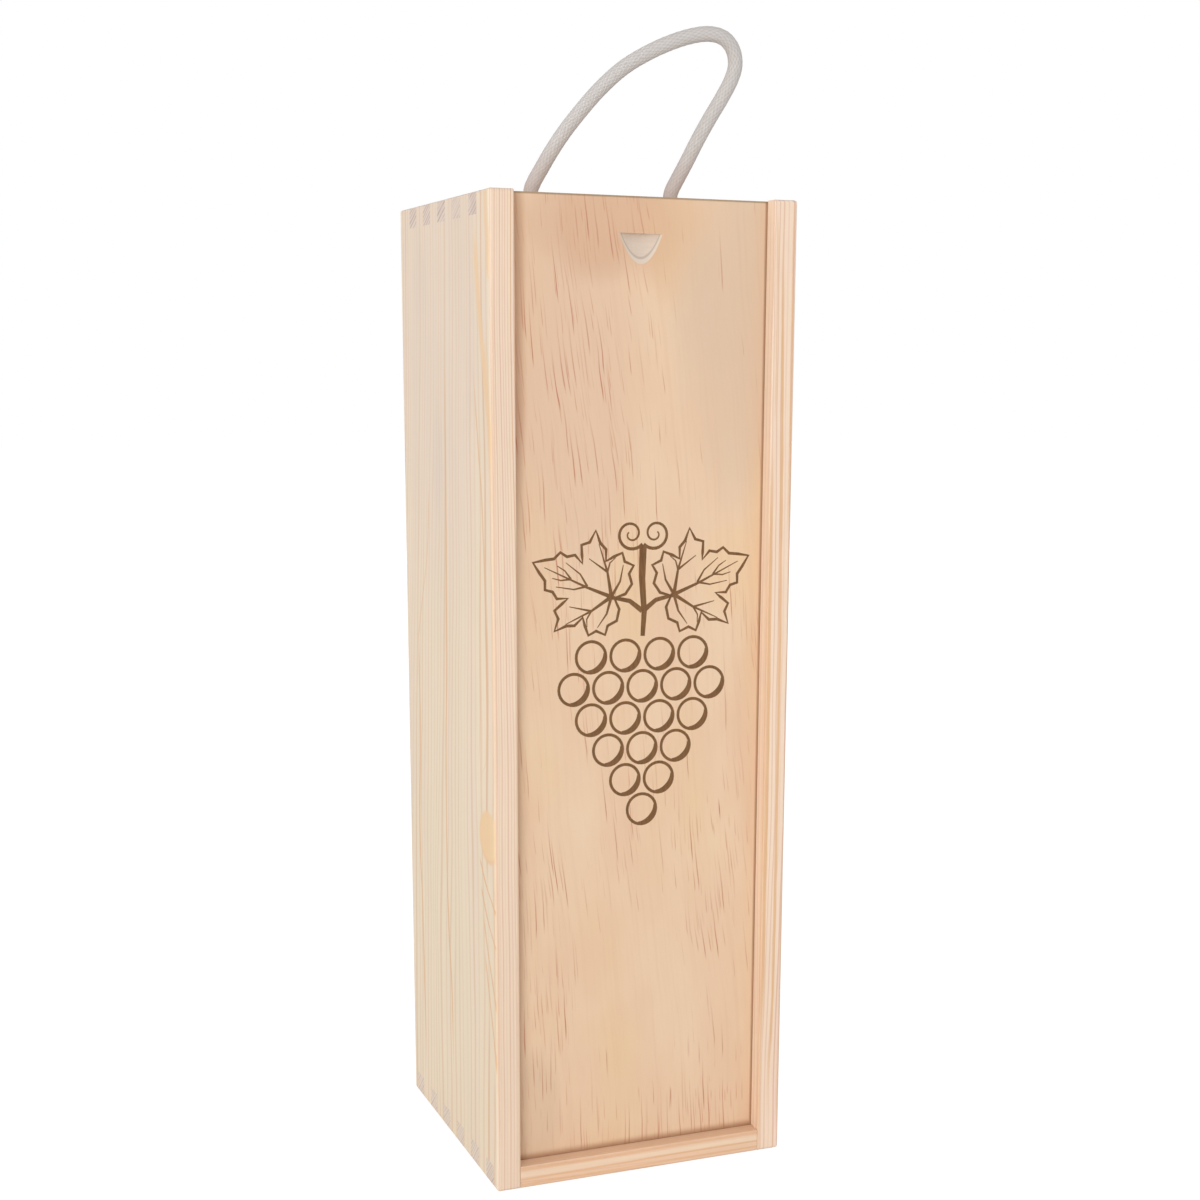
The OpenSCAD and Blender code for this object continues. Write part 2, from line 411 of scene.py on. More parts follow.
def plywood(name, seed, front, back, lean=0.0001, tints=(), crowds=()):
    """Rotary-cut pine plywood, with its plies between the planes y = front and y = back.
    lean is how fast the resin lines drift to the side as they run up, more so higher up.
    tints are broad soft areas and crowds are areas with more resin lines, or fewer where the
    share is below 0: place right, place up, half width, half height, share, and for tints a
    colour."""
    paint = Paint(name)
    x, y, z = paint.place()
    drift = paint.noise(x / 70 + seed, seed, z / 150)
    waver = paint.noise(x / 9, seed, z / 24) - 0.5
    run = x + (z * 500 + z ** 2) * lean + (drift - 0.5) * 14 + waver * 1.6
    cloud = paint.noise(x / 24, seed + 2, z / 52, detail=2.0)

    figure = paint.noise(run / 19, seed, z / 130, detail=2.0)
    warm = paint.noise(run / 30 + 7, seed, z / 80, detail=2.0)
    lines = paint.noise(run / 1.3, seed, z / 90, detail=2.0)
    gather = paint.noise(run / 12, seed + 5, z / 55, detail=1.5)
    pores = paint.noise(run * 2.5, seed, z / 7, detail=3.0, roughness=0.7)

    tone = paint.mix(cloud.rise(0.30, 0.70), *PLY_GROUND)
    tone = paint.mix(figure.rise(0.45, 0.75) * 0.35, tone, PLY_FIGURE)
    tone = paint.mix(warm.rise(0.50, 0.78) * 0.45, tone, PLY_WARM)
    tone = paint.blots(tone, x, z, tints, (cloud - 0.5) * 1.6)
    tone = paint.mix(lines.rise(0.46, 0.74) * 0.13, tone, PLY_LINES)

    density = gather.rise(0.30, 0.75) * 0.5
    for place_x, place_z, half_width, half_height, share in crowds:
        reach = ((x - place_x) / half_width) ** 2 + ((z - place_z) / half_height) ** 2
        density = density + reach.fall(0.2, 1.3) * share
    near = paint.dashes(run, z, 1.5, 31, seed, density)
    fine = paint.dashes(run + 0.4, z, 1.1, 15, seed + 31, density * 0.8)
    tone = paint.mix(near * 0.95, tone, RESIN_LINE)
    tone = paint.mix(fine * 0.75, tone, FINE_RESIN_LINE)
    tone = paint.dim(tone, 1.0 + (pores - 0.5) * 0.06)

    # Painted shade: a darker line where the sheet runs into the side grooves, and a darker band
    # just above the rail's top.
    side = x.math("ABSOLUTE")
    groove_shade = side.rise(INNER_RIGHT - 1.0, INNER_RIGHT - 0.2)
    groove_shade = groove_shade * side.fall(INNER_RIGHT, INNER_RIGHT + 0.8)
    rail_shade = z.rise(RAIL_TOP - 1.0, RAIL_TOP - 0.3) * z.fall(RAIL_TOP, RAIL_TOP + 3.5) ** 1.5
    tone = paint.mix(groove_shade.math("MAXIMUM", rail_shade) * 0.75, tone, SLIT_SHADE)

    # The plies show where the sheet is cut: at its edges and in the notch.
    depth = (y - front).math("MINIMUM", back - y)
    core = paint.mix(paint.noise(x / 9, y, z * 1.4), *CUT_CORE)
    inside = paint.mix(depth.rise(VENEER - GLUE, VENEER), CUT_VENEER, GLUE_LINE)
    inside = paint.mix(depth.rise(VENEER + GLUE, VENEER + 2 * GLUE), inside, core)
    tone = paint.mix(depth.rise(0.02, 0.06), tone, inside)
    edge = z.rise(LID_TOP - 0.9, LID_TOP - 0.35)
    tone = paint.mix(edge * 0.7, tone, PLY_TOP_EDGE)
    return paint.finish(tone, 0.58 + (pores - 0.5) * 0.1, pores, relief=0.02)


def burnt_wood():
    """The floor and walls of the lines that are burnt into the lid."""
    paint = Paint("burnt_wood")
    x, y, z = paint.place()
    grain = paint.noise(x * 2.2, y, z / 5, detail=3.0)
    tone = paint.mix(grain.rise(0.35, 0.7), *BURNT)
    return paint.finish(tone, 0.8, grain, relief=0.02)


# ---------------------------------------------------------------- rope

HINGE = next(joint["pos_m"] for joint in frame["record"]["behaviour"]["joints"]
             if joint["name"] == "handle_swing")
ROPE_D = 5.2
ROPE_Y = HINGE[1] / MM
PIVOT_Z = HINGE[2] / MM
HOLE_SPAN = 53.0
LOOP_LEAN = 15.0
# The loop's route from the left hole to the right one, as [right, up] in its leaning plane.
LOOP = [(-26.5, 0), (-25.6, 3.4), (-23.6, 7.4), (-20, 14.2), (-15.8, 21), (-10.2, 28.6),
        (-4, 36), (3.4, 43), (11.5, 48.3), (20, 52.5), (28.2, 55.4), (35, 56.5), (40.6, 55.4),
        (44.4, 51.9), (46, 47), (45.2, 42), (42.5, 35.8), (38.6, 28.4), (34.9, 20.8),
        (31.6, 13.2), (28.5, 6.4), (27, 3), (26.5, 0)]
# Half of an overhand knot, down from its upper end, about its middle. The other half is the
# same, turned half round about Y.
HALF_KNOT = [(0, 0, 9.4), (0.6, 0, 3.6), (2.6, -3.0, -0.3), (-0.1, -5.1, -3.9),
             (-4.2, -2.9, -5.6), (-5.1, 1.8, -4.6), (-2.1, 4.5, -1.5)]
KNOT_DROP = 8.4
TAIL_DROP = 26.0
KNOT_MIDDLE_Z = TOP_BOARD_UNDERSIDE - KNOT_DROP
TAIL_BOTTOM_Z = TOP_BOARD_UNDERSIDE - TAIL_DROP

# The plait: yarns each way round the rope, the rope's length for one cell of the plait, how far
# a yarn stands out from the valleys and past the rope's radius, and the mesh's steps round and
# along.
YARNS = 13
CELL_L = 1.35
YARN_RELIEF = 0.14
YARN_PROUD = 0.02
ROUND_STEPS = 80
STEP_L = 0.26
# Points worked out between two given ones, before the even steps are taken.
DENSE_STEPS = 24

COTTON_YARN = colour(205, 200, 197)
# Painted shade between the yarns.
COTTON_VALLEY_SHADE = colour(184, 177, 172)
# Near the board: partly dirt, partly a painted warm reflection of the wood.
COTTON_DIRT_AND_WOOD_REFLECTION = colour(186, 168, 162)


def smooth_path(points, step):
    """Points about one step apart on a smooth curve through the given ones."""
    ends = [points[0] * 2 - points[1], *points, points[-1] * 2 - points[-2]]
    dense = []
    for before, a, b, after in zip(ends, ends[1:], ends[2:], ends[3:]):
        for i in range(DENSE_STEPS):
            t = i / DENSE_STEPS
            dense.append(0.5 * (2 * a + (b - before) * t
                                + (2 * before - 5 * a + 4 * b - after) * t ** 2
                                + (3 * a - before - 3 * b + after) * t ** 3))
    dense.append(points[-1])
    length = sum((b - a).length for a, b in zip(dense, dense[1:]))
    steps = max(2, round(length / step))
    even, passed, i = [dense[0]], 0.0, 0
    for k in range(1, steps):
        while passed + (dense[i + 1] - dense[i]).length < k * length / steps:
            passed += (dense[i + 1] - dense[i]).length
            i += 1
        share = (k * length / steps - passed) / (dense[i + 1] - dense[i]).length
        even.append(dense[i].lerp(dense[i + 1], share))
    return [*even, dense[-1]]


def loop_route():
    """The rope's middle line from under the left hole, round the loop, to under the right hole."""
    lean = math.radians(LOOP_LEAN)
    loop = [Vector((x, ROPE_Y - up * math.sin(lean), PIVOT_Z + up * math.cos(lean)))
            for x, up in LOOP]
    holes = [[Vector((side * HOLE_SPAN / 2, ROPE_Y, z))
              for z in (TOP_BOARD_UNDERSIDE, (TOP_BOARD_UNDERSIDE + BOX_TOP) / 2)]
             for side in (-1, 1)]
    return [*holes[0], *loop, *reversed(holes[1])]


def knot_route(side):
    """The rope's middle line from a hole's lower mouth, through the knot, to the tail's end."""
    middle = Vector((side * HOLE_SPAN / 2, ROPE_Y, KNOT_MIDDLE_Z))
    upper = [Vector(p) for p in HALF_KNOT]
    lower = [Vector((-p.x, p.y, -p.z)) for p in reversed(upper)]
    mouth = Vector((0, 0, TOP_BOARD_UNDERSIDE - KNOT_MIDDLE_Z))
    tail = Vector((0, 0, TAIL_BOTTOM_Z - KNOT_MIDDLE_Z))
    return [middle + p for p in (mouth, *upper[1:], *lower[:-1], tail)]


def yarn_height(around, along):
    """How far the plait stands out at a place, from 0 in a valley to 1 on a yarn.
    around is in turns and along in cells. Each yarn passes over two and under two."""
    right = YARNS * around + along / 2
    left = YARNS * around - along / 2
    on_top = (math.floor(right) - math.floor(left)) % 2 == 0
    across = (right if on_top else left) % 1.0
    under = (left if on_top else right) % 1.0
    return math.sin(math.pi * across) ** 0.6 * (0.55 + 0.45 * math.sin(math.pi * under))


def plaited_rope(name, route, paint):
    """A plaited rope along a route, with flat cut ends. Returns the piece and its middle line."""
    line = smooth_path(route, STEP_L)
    mesh = bpy.data.meshes.new(name)
    bm = bmesh.new()
    around = bm.verts.layers.float.new("around")
    valley = bm.verts.layers.float.new("valley")
    ring = bmesh.ops.create_circle(bm, segments=ROUND_STEPS, radius=1.0)["verts"]
    for i, vert in enumerate(ring):
        vert[around] = i / ROUND_STEPS
    first_rim = rim = list(bm.edges)
    heading = (line[1] - line[0]).normalized()
    side = heading.orthogonal().normalized()
    for k, middle in enumerate(line):
        ahead = (line[min(k + 1, len(line) - 1)] - line[max(k - 1, 0)]).normalized()
        side = heading.rotation_difference(ahead) @ side
        heading = ahead
        other = heading.cross(side)
        if k:
            made = bmesh.ops.extrude_edge_only(bm, edges=rim)["geom"]
            ring = [v for v in made if isinstance(v, bmesh.types.BMVert)]
            rim = [e for e in made if isinstance(e, bmesh.types.BMEdge)]
        for vert in ring:
            turn = 2 * math.pi * vert[around]
            height = yarn_height(vert[around], k * STEP_L / CELL_L)
            vert[valley] = 1 - height
            radius = ROPE_D / 2 - YARN_RELIEF * (1 - height) + YARN_PROUD
            out = side * math.cos(turn) + other * math.sin(turn)
            vert.co = (middle + out * radius) * MM
    bmesh.ops.contextual_create(bm, geom=first_rim)
    bmesh.ops.contextual_create(bm, geom=rim)
    bmesh.ops.recalc_face_normals(bm, faces=bm.faces)
    for face in bm.faces:
        face.smooth = len(face.verts) == 4
    bm.to_mesh(mesh)
    bm.free()
    mesh.materials.append(paint)
    piece = bpy.data.objects.new(name, mesh)
    bpy.context.scene.collection.objects.link(piece)
    return piece, line


def cotton():
    """Undyed cotton rope: light warm grey, with painted shade between the yarns."""
    paint = Paint("cotton_rope")
    x, y, z = paint.place()
    valley = paint.node("Attribute", {"attribute_name": "valley"}, out="Fac")
    fluff = paint.noise(x * 3, y * 3, z * 3, detail=2.0)
    patch = paint.noise(x / 9, y / 9, z / 9)
    # Painted shade in the valleys of the plait.
    tone = paint.mix(valley.rise(0.15, 0.95), COTTON_YARN, COTTON_VALLEY_SHADE)
    # Near the board the rope is warmer: partly dirt, partly a painted reflection of the wood.
    low = z.fall(BOX_TOP + 2, BOX_TOP + 24)
    tone = paint.mix(low * 0.55, tone, COTTON_DIRT_AND_WOOD_REFLECTION)
    tone = paint.dim(tone, 1.0 + (fluff - 0.5) * 0.14 + (patch - 0.5) * 0.06)
    return paint.finish(tone, 1.0, fluff, relief=0.035, **{"Specular IOR Level": 0.0})


cotton_rope = cotton()
rope_loop, loop_line = plaited_rope("rope_loop", loop_route(), cotton_rope)
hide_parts("rope_handle")
ROPE_Y * MM
ROPE_Y * MM
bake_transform(rope_loop)

for side, hand in ((-1, "left"), (1, "right")):
    knot, _ = plaited_rope("rope_knot_" + hand, knot_route(side), cotton_rope)
    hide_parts("rope_end_" + hand)
    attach(knot, "box")

loop_length = sum((b - a).length for a, b in zip(loop_line, loop_line[1:]))
ROPE_Y * MM
[p * MM for p in loop_line[::4]] + [loop_line[-1] * MM]

# ---------------------------------------------------------------- boards

# How far edges are eased: a board's, the back panel's and the lid's.
SANDED = 0.35
PANEL_SANDED = 0.2
LID_SANDED = 0.15
# An edge is sharp if its faces turn by more than this, in degrees.
SHARP_TURN = 35
# Two lengths closer than this are the same, in millimetres.
SAME_PLACE = 0.01


def flush_seam(edge):
    """Whether an edge lies in the box's left or right face and away from that face's own edges,
    where the fingers of two boards meet flush."""

    def lies_in(axis, places):
        return any(all(abs(v.co[axis] / MM - place) < SAME_PLACE for v in edge.verts)
                   for place in places)

    return (lies_in(0, (SIDE_LEFT, SIDE_RIGHT)) and not lies_in(1, (BOX_FRONT, BOX_BACK))
            and not lies_in(2, (0, BOX_TOP)))


def sanded_copy(node, body, paints, end_axis=None, softness=SANDED):
    """A copy of a CAD board with its sharp edges eased, shown in place of the CAD node, which is
    hidden.
    Faces square to end_axis get the second paint, for end grain."""
    mesh = bpy.data.meshes.new("wood_" + node)
    bm = bmesh.new()
    bm.from_mesh(frame["nodes"][node].data)
    bmesh.ops.remove_doubles(bm, verts=bm.verts, dist=1e-6)
    bmesh.ops.dissolve_limit(bm, angle_limit=math.radians(1), verts=bm.verts, edges=bm.edges)
    sharp = [e for e in bm.edges
             if e.calc_face_angle(0) > math.radians(SHARP_TURN) and not flush_seam(e)]
    bmesh.ops.bevel(bm, geom=sharp, offset=softness * MM, segments=2, profile=0.5,
                    affect="EDGES", clamp_overlap=True, material=-1)
    for face in bm.faces:
        face.material_index = int(end_axis is not None and abs(face.normal[end_axis]) > 0.7)
        face.smooth = False
    bm.to_mesh(mesh)
    bm.free()
    for paint in paints:
        mesh.materials.append(paint)
    piece = bpy.data.objects.new("wood_" + node, mesh)
    bpy.context.scene.collection.objects.link(piece)
    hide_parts(node)
    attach(piece, body)
    return piece


ORANGE = colour(224, 178, 132)
PALE_ORANGE = colour(234, 200, 160)
# The left side: fine years, with a few stronger lines, resin near its front corner and a resin
# patch low down.
LEFT = {
    "grain": "Z", "pith": (1866.0, -467.0), "ring": 0.88, "seed": 1.7, "line": 0.8, "sway": 3.5,
    "widen": 0.35, "blush": 0.45,
    "ground": (colour(232, 214, 190), colour(231, 211, 191)),
    # The first tint is painted shade: it darkens the board's upper part.
    "tints": [(0, 300, 60, 110, 0.6, colour(225, 206, 190)),
              (-42, 200, 16, 90, 0.35, colour(237, 217, 190)),
              (-46, 70, 14, 90, 0.4, colour(228, 209, 180)),
              (10, 60, 60, 90, 0.5, colour(230, 214, 187)),
              (9, 256, 7, 24, 0.28, colour(214, 199, 187)),
              (30, 322, 12, 14, 0.18, colour(216, 200, 187))],
    "side_streaks": [
        (5.0, 0.85, colour(231, 213, 187), [(34, -52.2), (70, -51.0), (124, -47.6)]),
        (2.8, 1.0, PALE_ORANGE, [(252, -57), (264, -55.2), (280, -51.6), (296, -47.4),
                                 (314, -43.0), (340, -39.4)]),
        (3.0, 0.6, PALE_ORANGE, [(240, -55.8), (262, -54.6), (282, -52.6), (304, -48.0)]),
        (2.6, 0.8, PALE_ORANGE, [(318, -54.6), (328, -54), (338, -52.4), (352, -50.6)]),
        (0.8, 0.35, ORANGE, [(30, -54.6), (150, -54.4), (210, -54.5), (262, -54.7)]),
        (0.9, 0.7, ORANGE, [(147, -38.4), (153, -43.2), (161, -47.5), (188, -48.1), (208, -47.7),
                            (243, -45.2), (262, -41.8), (280, -38.4), (296, -34.6)]),
        (0.8, 0.5, ORANGE, [(152, -36.5), (167, -39.8), (189, -40.6), (215, -41.8), (240, -42.6)]),
        (1.0, 0.95, ORANGE, [(102, -56.5), (105.5, -54), (111.4, -46), (121, -37.6)]),
        (0.9, 0.9, ORANGE, [(89, -56.5), (92, -54.6), (100, -46.4), (111, -39)]),
        (0.9, 0.8, ORANGE, [(64, -56.5), (72, -54.4), (86, -47.5), (101, -41.2)]),
        (0.9, 0.8, ORANGE, [(40, -56.5), (52, -54.2), (70, -48.5), (88, -42.5)]),
        (0.9, 0.9, ORANGE, [(14, 37.5), (45, 38.5), (87, 40), (109, 41.8), (161, 38.6), (196, 41)]),
        (0.9, 0.9, ORANGE, [(14, -1.6), (56, -0.3), (86, 3), (118, 4), (191, 0.4), (300, -2.2)]),
        (0.8, 0.5, ORANGE, [(183, 41.6), (197, 36.1), (207, 31.7), (223, 25), (250, 21)]),
    ],
    "front_share": 0.35,
    "front_streaks": [
        (0.7, 0.4, colour(222, 182, 148), [(4, -55.0), (120, -55.2), (345, -55.1)]),
        (0.6, 0.35, colour(208, 166, 132), [(-30, -47.4), (90, -47.6), (240, -47.3)])],
    "patches": [(-49.0, 130.0, 12.0, 10.5)],
}
# The right side: broad years with strong orange late wood on its front edge.
RIGHT = {
    "grain": "Z", "pith": (170.0, 20.0), "ring": 1.5, "seed": 8.3, "line": 0.6, "sway": 3.5,
    "ground": (colour(241, 215, 191), colour(240, 212, 194)),
    "front_streaks": [
        (0.7, 0.85, ORANGE, [(5, 51.0), (27, 51.2), (70, 52.4), (160, 52.5), (250, 51.8),
                             (330, 50.6), (347, 50.2)]),
        (0.8, 0.9, ORANGE, [(40, 48.6), (70, 48.3), (160, 48.4), (235, 48.0), (270, 48.2)]),
        (0.6, 0.6, ORANGE, [(230, 54.9), (290, 54.8), (330, 54.6), (348, 54.4)]),
        (0.6, 0.5, ORANGE, [(2, 55.2), (27, 55.0), (60, 55.3), (110, 55.6)]),
        (0.4, 0.5, ORANGE, [(270, 48.9), (300, 48.8), (330, 48.6), (348, 48.4)]),
        (0.7, 0.6, ORANGE, [(-20, 47.5), (60, 47.6), (150, 47.5), (235, 47.7)]),
    ],
}
TOP = {"grain": "X", "pith": (500.0, 1345.0), "ring": 1.6, "seed": 4.1, "end_line": 1.0,
       "sway": 4.0, "end_tints": [(-42, 346, 8, 10, 0.4, colour(200, 180, 172))]}
BOTTOM = {"grain": "X", "pith": (650.0, 704.0), "ring": 1.25, "seed": 6.6, "blush": 0.8,
          "line": 0.45, "sway": 4.0, "end_line": 0.8,
          "end_tints": [(0, 7, 90, 9, 0.7, colour(226, 209, 191))],
          "ground": (colour(234, 202, 172), colour(233, 197, 167)),
          "front_streaks": [
              (1.0, 0.8, colour(226, 180, 142), [(-80, 7.5), (-20, 7.2), (20, 7.4), (80, 7.0)]),
              (1.5, 0.7, colour(238, 213, 187), [(-80, 5.0), (-20, 5.3), (20, 5.6), (80, 5.2)]),
              (0.45, 0.7, ORANGE, [(-80, 3.1), (-10, 3.8), (30, 4.2), (80, 3.9)]),
              (0.5, 0.6, ORANGE, [(-80, 1.2), (-10, 1.7), (30, 1.9), (80, 1.5)])]}

for node, end_axis, board in (("left_side", 2, LEFT), ("right_side", 2, RIGHT),
                              ("top_board", 0, TOP), ("bottom_board", 0, BOTTOM)):
    face_pine = pine("pine_" + node, **board)
    end_pine = pine("pine_end_" + node, end_grain=True, **board)
    sanded_copy(node, "box", [face_pine, end_pine], end_axis=end_axis)

back_ply = plywood("plywood_back", 3.4, PANEL_FRONT, PANEL_BACK, lean=-0.00008)
sanded_copy("back_panel", "box", [back_ply], softness=PANEL_SANDED)
# The lid is more reddish at its upper left, yellow round the notch and paler at its upper right,
# with painted shade beside the left side board and in its lower left corner.
LID_TINTS = [(-26, 290, 30, 70, 0.75, colour(223, 189, 161)),
             (-10, 341, 32, 22, 0.75, colour(213, 171, 139)),
             (14, 334, 15, 22, 0.55, colour(223, 185, 146)),
             (38, 305, 26, 62, 0.8, colour(217, 189, 162)),
             # Painted shade in the lid's lower left corner, by the left side board and the rail.
             (-40, 24, 12, 28, 0.6, colour(214, 182, 152)),
             (-46, 310, 5, 80, 0.7, colour(206, 160, 126)),
             # Painted shade: a narrow band beside the left side board.
             (-47, 110, 3.5, 130, 0.5, colour(208, 166, 132)),
             (-40, 222, 14, 36, 0.3, colour(228, 196, 160)),
             (36, 222, 16, 16, 0.5, colour(234, 200, 158))]
# Its resin lines crowd at its upper left and middle, and leave a clear place low down.
LID_CROWDS = [(-14, 285, 30, 75, 0.34), (30, 300, 18, 90, -0.25), (-2, 70, 22, 26, -0.5),
              (-36, 82, 14, 52, 0.38), (28, 108, 20, 30, 0.32), (-5, 16, 60, 16, 0.4),
              (-12, 338, 20, 14, 0.35)]
lid_ply = plywood("plywood_lid", 9.2, LID_FRONT, LID_BACK, tints=LID_TINTS, crowds=LID_CROWDS)
lid = sanded_copy("sliding_lid", "lid", [lid_ply, burnt_wood()],
                  softness=LID_SANDED)

# ---------------------------------------------------------------- ornament on the lid

# A bunch of grapes under two vine leaves, drawn in lines, as [right, up] in millimetres
# from the middle of the bunch's upper row.
ORNAMENT_PLACE = (1.5, 192.0)
ORNAMENT_SCALE = 1.08
LINE_W = 1.1
# The cutting tubes: radius for a width of 1, how much wider they burn than they are drawn, how
# flat they are from front to back, and how far their middle is in front of the lid's face.
TUBE_RADIUS = 0.5
BURN_SPREAD = 1.15
LINE_FLATNESS = 0.36
TUBE_LIFT = 0.03
GRAPE_D = 11.4
GRAPE_PITCH = 12.0
GRAPE_ROWS = (4, 5, 4, 3, 2, 1)
# The right half of a vine leaf's outline, from its stalk to its tip.
HALF_LEAF = [(0, -1.5), (3.5, -5.5), (8.5, -6.5), (12, -3.5), (16, -4), (16, 0.5), (19, 3),
             (16, 6), (13, 8.5), (17.5, 10.5), (19, 14), (23, 18), (17.5, 18.5), (15, 21.5),
             (11, 19.5), (8, 18), (10, 22.5), (8, 25.5), (8.5, 29), (5, 30.5), (3, 34)]
LEAF_TIP = (0, 38.5)
LEAF_PLACE = (11.0, 19.5)
LEAF_TURN = 66.0
LEAF_SCALE = 0.76
# The right half's veins: points, then the line's width at its start and at its end.
VEINS = [([(0, 0), (9, 6), (18.5, 14.5)], 1.4, 0.4), ([(0, 0), (7.5, -1), (14.5, 0.5)], 1.2, 0.4),
         ([(0, 12), (3.5, 17), (5.5, 25)], 0.9, 0.4), ([(0, 20), (2.2, 24), (2.8, 28)], 0.8, 0.4),
         ([(9, 6), (10, 11), (11, 16)], 0.9, 0.4), ([(9, 6), (13, 6.5), (16, 5)], 0.8, 0.4)]
STEM = [(0, 6.2), (0.5, 14), (-0.3, 25), (0, 36)]
STALK = [(0.2, 14.5), (4.6, 17.9), (9.6, 19.0)]
TENDRIL_MIDDLE = (4.2, 39.6)
TENDRIL_RADIUS = 5.2
TENDRIL_END_RADIUS = 0.9
TENDRIL_TURNS = (-140, 400)
TENDRIL_STEPS = 40
# A grape's circle, and the crescent of shade inside it: how far in, between which angles, and
# its width at its ends and what its middle has more.
GRAPE_STEPS = 28
SHADE_INSET = 0.6
SHADE_TURNS = (-105, 15)
SHADE_STEPS = 12
SHADE_W = (0.4, 1.6)


def arc(middle, start_radius, end_radius, start, end, steps):
    """Points on an arc or spiral, between two angles in degrees."""
    points = []
    for i in range(steps + 1):
        turn = math.radians(start + (end - start) * i / steps)
        radius = start_radius + (end_radius - start_radius) * i / steps
        points.append((middle[0] + radius * math.cos(turn), middle[1] + radius * math.sin(turn)))
    return points


def leaf_point(point, side):
    """A point of a leaf, set in its place on one side of the stem."""
    turn = math.radians(LEAF_TURN)
    right, up = point[0] * LEAF_SCALE, point[1] * LEAF_SCALE
    out = right * math.cos(turn) + up * math.sin(turn)
    rise = -right * math.sin(turn) + up * math.cos(turn)
    return (side * (LEAF_PLACE[0] + out), LEAF_PLACE[1] + rise)


def ornament_lines():
    """Every line of the ornament: points, widths at them, and whether it is closed."""
    lines = []

    def taper(points, start_w, end_w):
        last = len(points) - 1
        lines.append((points, [start_w + (end_w - start_w) * i / last for i in range(last + 1)],
                      False))

    for row, count in enumerate(GRAPE_ROWS):
        for i in range(count):
            middle = ((i - (count - 1) / 2) * GRAPE_PITCH,
                      -row * GRAPE_PITCH * math.sin(math.radians(60)))
            radius = GRAPE_D / 2 - LINE_W / 2
            circle = arc(middle, radius, radius, 0, 360, GRAPE_STEPS)[:-1]
            lines.append((circle, [LINE_W] * len(circle), True))
            inner = radius - SHADE_INSET
            shade = arc(middle, inner, inner, *SHADE_TURNS, SHADE_STEPS)
            widths = [SHADE_W[0] + SHADE_W[1] * math.sin(math.pi * k / SHADE_STEPS)
                      for k in range(SHADE_STEPS + 1)]
            lines.append((shade, widths, False))
    for side in (-1, 1):
        left_half = [(-x, y) for x, y in reversed(HALF_LEAF[1:])]
        outline = [leaf_point(p, side) for p in [*HALF_LEAF, LEAF_TIP, *left_half]]
        lines.append((outline, [LINE_W] * len(outline), True))
        taper([leaf_point(p, side) for p in [(0, -1.5), (0.5, 12), (0, 33)]], 1.5, 0.4)
        for points, start_w, end_w in VEINS:
            for half in (-1, 1):
                taper([leaf_point((half * x, y), side) for x, y in points], start_w, end_w)
        taper([(side * x, y) for x, y in STALK], 1.8, 1.3)
        spiral = arc(TENDRIL_MIDDLE, TENDRIL_RADIUS, TENDRIL_END_RADIUS, *TENDRIL_TURNS,
                     TENDRIL_STEPS)
        taper([(side * x, y) for x, y in spiral], 1.2, 0.6)
    taper(STEM, 1.6, 2.6)
    return lines


def ornament_cutter():
    """The ornament's lines as slim tubes that lie half sunk in the lid's face."""
    lines = bpy.data.curves.new("ornament_lines", "CURVE")
    lines.dimensions = "3D"
    lines.bevel_depth = TUBE_RADIUS * MM
    lines.bevel_resolution = 0
    lines.use_fill_caps = True
    for points, widths, closed in ornament_lines():
        spline = lines.splines.new("POLY")
        spline.points.add(len(points) - 1)
        spline.use_cyclic_u = closed
        for spot, (right, up), width in zip(spline.points, points, widths):
            spot.co = (right * ORNAMENT_SCALE * MM, 0, up * ORNAMENT_SCALE * MM, 1)
            spot.radius = width * BURN_SPREAD
    source = bpy.data.objects.new("ornament_lines", lines)
    bpy.context.scene.collection.objects.link(source)
    graph = bpy.context.evaluated_depsgraph_get()
    mesh = bpy.data.meshes.new_from_object(source.evaluated_get(graph))
    bpy.data.objects.remove(source)
    bm = bmesh.new()
    bm.from_mesh(mesh)
    bmesh.ops.remove_doubles(bm, verts=bm.verts, dist=1e-7)
    bmesh.ops.recalc_face_normals(bm, faces=bm.faces)
    bmesh.ops.scale(bm, vec=(1, LINE_FLATNESS, 1), verts=bm.verts)
    place = Vector((ORNAMENT_PLACE[0], LID_FRONT - TUBE_LIFT, ORNAMENT_PLACE[1])) * MM
    bmesh.ops.translate(bm, vec=place, verts=bm.verts)
    mesh.materials.clear()
    for paint in lid.data.materials:
        mesh.materials.append(paint)
    for face in bm.faces:
        face.material_index = 1
    bm.to_mesh(mesh)
    bm.free()
    cutter = bpy.data.objects.new("ornament_cutter", mesh)
    bpy.context.scene.collection.objects.link(cutter)
    return cutter


def cut_ornament():
    """Cuts the ornament's lines into the lid's mesh."""
    cutter = ornament_cutter()
    cut = lid.modifiers.new("ornament", "BOOLEAN")
    cut.operation = "DIFFERENCE"
    cut.solver = "EXACT"
    cut.use_self = True
    cut.object = cutter
    graph = bpy.context.evaluated_depsgraph_get()
    carved = bpy.data.meshes.new_from_object(lid.evaluated_get(graph))
    lid.modifiers.clear()
    lid.data = carved
    bpy.data.objects.remove(cutter)


cut_ornament()

# ---------------------------------------------------------------- floor, lights and backdrop

FLOOR_SIDE = 12.0
# The floor is white where it is open to the light, and this share of it takes shadow.
FLOOR_SHADOW_SHARE = 0.35
FLOOR_GLOW = 1.3
FLOOR_MATT = (0.82, 0.82, 0.82, 1)
WHITE = (1, 1, 1, 1)
BACKDROP_LIGHT = 0.66
# Each lamp: name, place and size in metres, and power in watts. All point at AIM.
AIM = (0, 0, 0.2)
LAMPS = [("key", (-1.5, -2.3, 0.45), 1.1, 31),
         ("side", (-2.2, -0.15, 0.6), 1.2, 8.5),
         ("fill", (1.4, -1.4, 0.9), 1.2, 2.5),
         ("back", (1.3, 2.2, 1.0), 1.4, 12)]


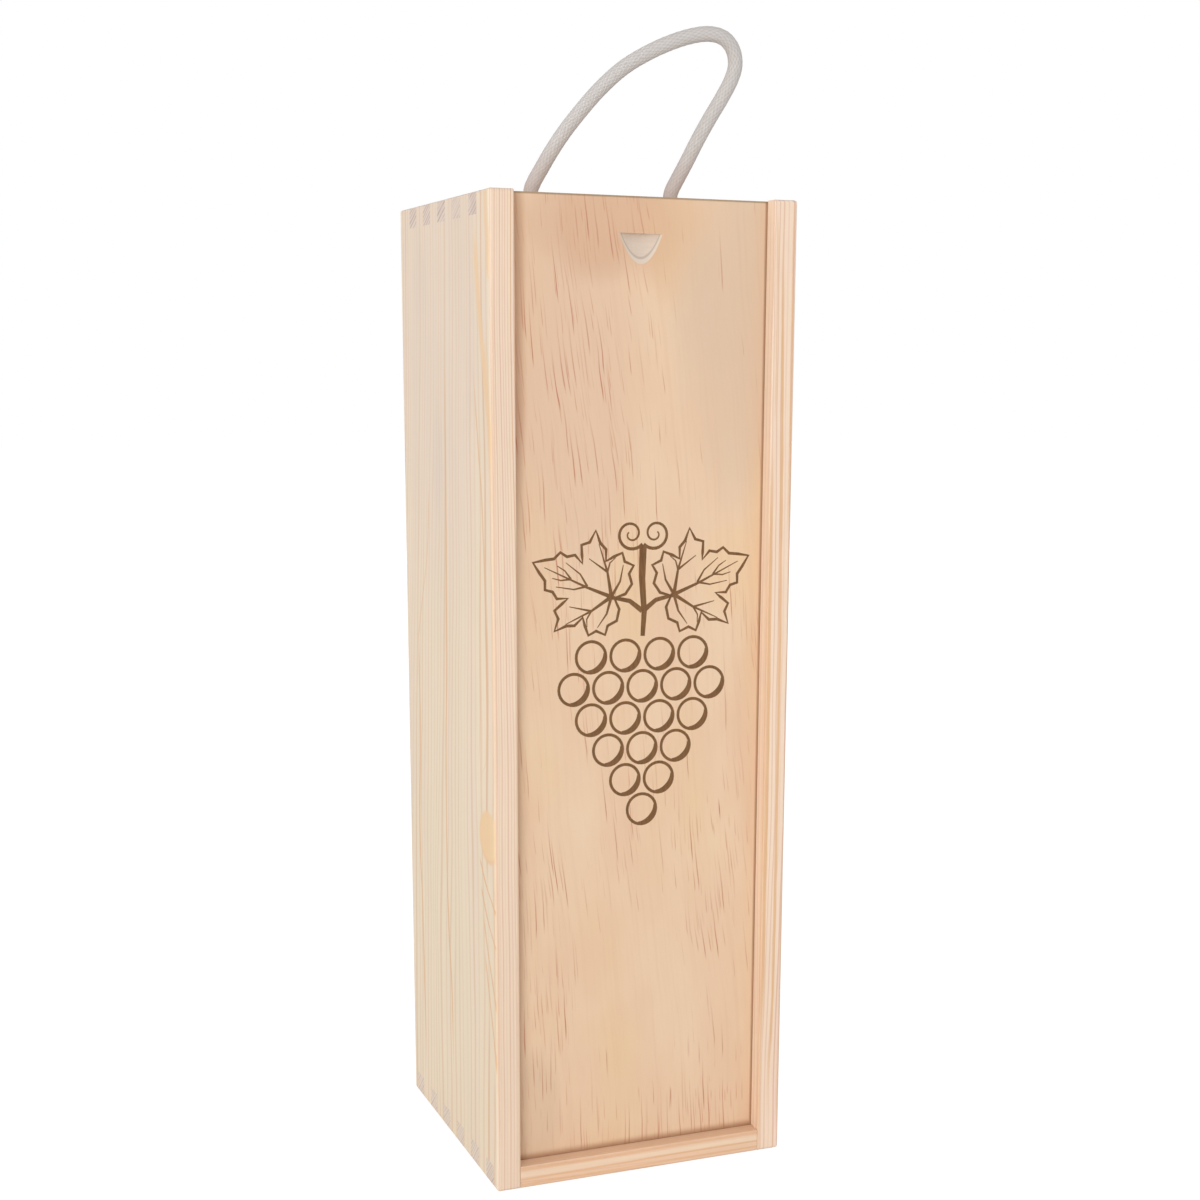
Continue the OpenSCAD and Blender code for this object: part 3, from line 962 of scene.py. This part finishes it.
def make_floor():
    bm = bmesh.new()
    bmesh.ops.create_grid(bm, x_segments=1, y_segments=1, size=FLOOR_SIDE / 2)
    mesh = bpy.data.meshes.new("floor")
    bm.to_mesh(mesh)
    bm.free()
    floor = bpy.data.objects.new("floor", mesh)
    bpy.context.scene.collection.objects.link(floor)
    paint = Paint("floor")
    matt = paint.node("BsdfDiffuse", None, {"Color": FLOOR_MATT})
    white = paint.node("Emission", None, {"Color": WHITE, "Strength": FLOOR_GLOW})
    seen = paint.node("LightPath", out="Is Camera Ray")
    factor = seen * (1 - FLOOR_SHADOW_SHARE)
    surface = paint.node("MixShader", None, {0: factor, 1: matt, 2: white})
    paint.node("OutputMaterial", None, {"Surface": surface})
    mesh.materials.append(paint.material)


def make_backdrop():
    """A white backdrop for the camera, which lights the object at BACKDROP_LIGHT."""
    world = bpy.data.worlds.new("backdrop")
    bpy.context.scene.world = world
    world.use_nodes = True
    tree = world.node_tree
    tree.nodes.clear()
    path = tree.nodes.new("ShaderNodeLightPath")
    light = tree.nodes.new("ShaderNodeBackground")
    light.inputs["Strength"].default_value = BACKDROP_LIGHT
    light.inputs["Color"].default_value = WHITE
    white = tree.nodes.new("ShaderNodeBackground")
    white.inputs["Color"].default_value = WHITE
    blend = tree.nodes.new("ShaderNodeMixShader")
    out = tree.nodes.new("ShaderNodeOutputWorld")
    tree.links.new(path.outputs["Is Camera Ray"], blend.inputs[0])
    tree.links.new(light.outputs[0], blend.inputs[1])
    tree.links.new(white.outputs[0], blend.inputs[2])
    tree.links.new(blend.outputs[0], out.inputs[0])


def make_lamp(name, place, size, power):
    """A square soft lamp that points at AIM."""
    light = bpy.data.lights.new(name, "AREA")
    light.size = size
    light.energy = power
    lamp = bpy.data.objects.new(name, light)
    bpy.context.scene.collection.objects.link(lamp)
    lamp.location = place
    lamp.rotation_mode = "QUATERNION"
    heading = Vector(AIM) - Vector(place)
    lamp.rotation_quaternion = heading.to_track_quat("-Z", "Y")


make_floor()
make_backdrop()
for lamp in LAMPS:
    make_lamp(*lamp)

bpy.context.scene.view_settings.view_transform = "Standard"
